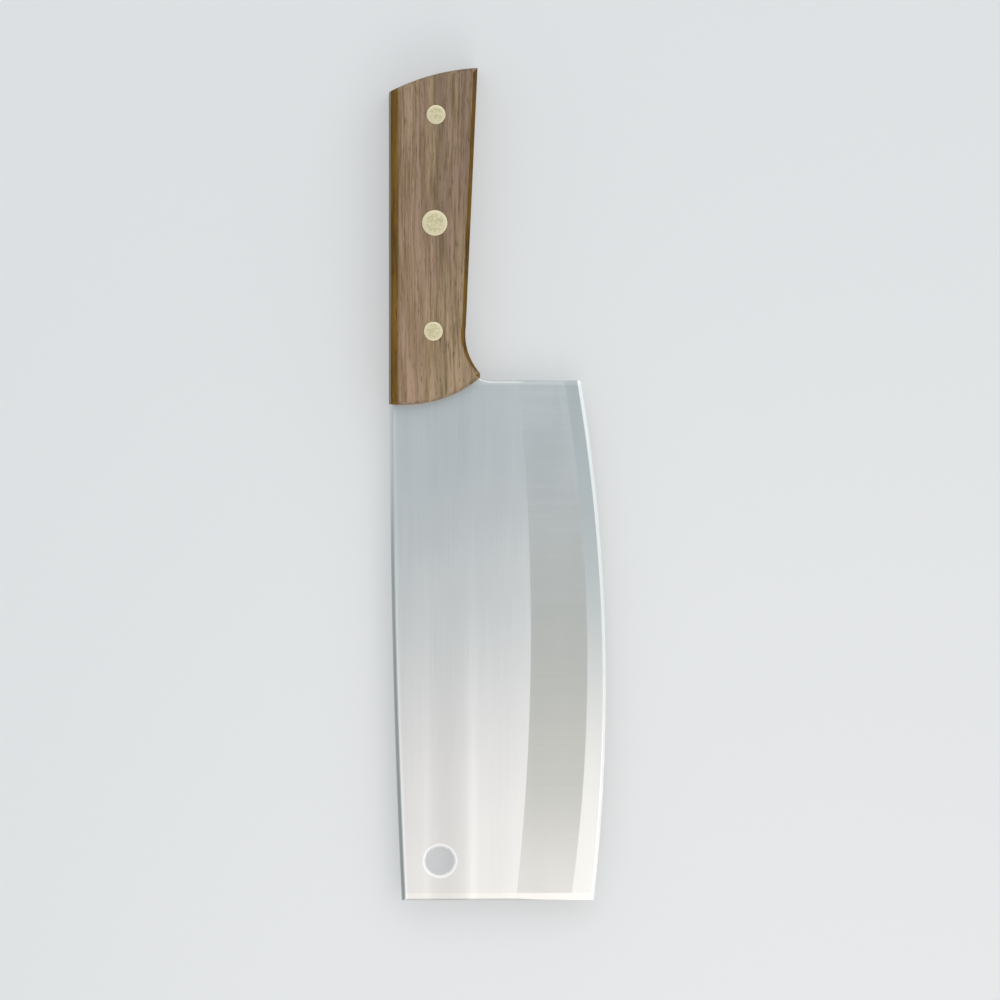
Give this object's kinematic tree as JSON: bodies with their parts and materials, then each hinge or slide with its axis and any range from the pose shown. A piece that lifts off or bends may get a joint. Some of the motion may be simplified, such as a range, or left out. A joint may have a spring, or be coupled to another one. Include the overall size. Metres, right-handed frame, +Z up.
{
  "type": "cleaver",
  "caption": "Broad, almost rectangular kitchen cleaver with a curved cutting edge, a hanging hole near the tip and a flat wooden handle riveted to a full tang.",
  "frame": {"origin": "middle of the cleaver's box, on the surface that it lies on", "axes": "+X from the spine to the cutting edge, +Y from the tip to the butt of the handle, +Z up out of the side that the cleaver lies on"},
  "size_m": [0.08, 0.3076, 0.02],
  "materials": {
    "blade_steel": "fine lengthwise satin grind",
    "handle_wood": "smooth, open grained, lightly oiled",
    "rivet_brass": "ground flush with the wood"
  },
  "bodies": {
    "root": {"blade": "blade_steel", "upper_scale": "handle_wood", "lower_scale": "handle_wood", "front_rivet_tube": "rivet_brass", "front_rivet_pin": "rivet_brass", "middle_rivet_tube": "rivet_brass", "middle_rivet_pin": "rivet_brass", "rear_rivet_tube": "rivet_brass", "rear_rivet_pin": "rivet_brass"}
  },
  "joints": []
}
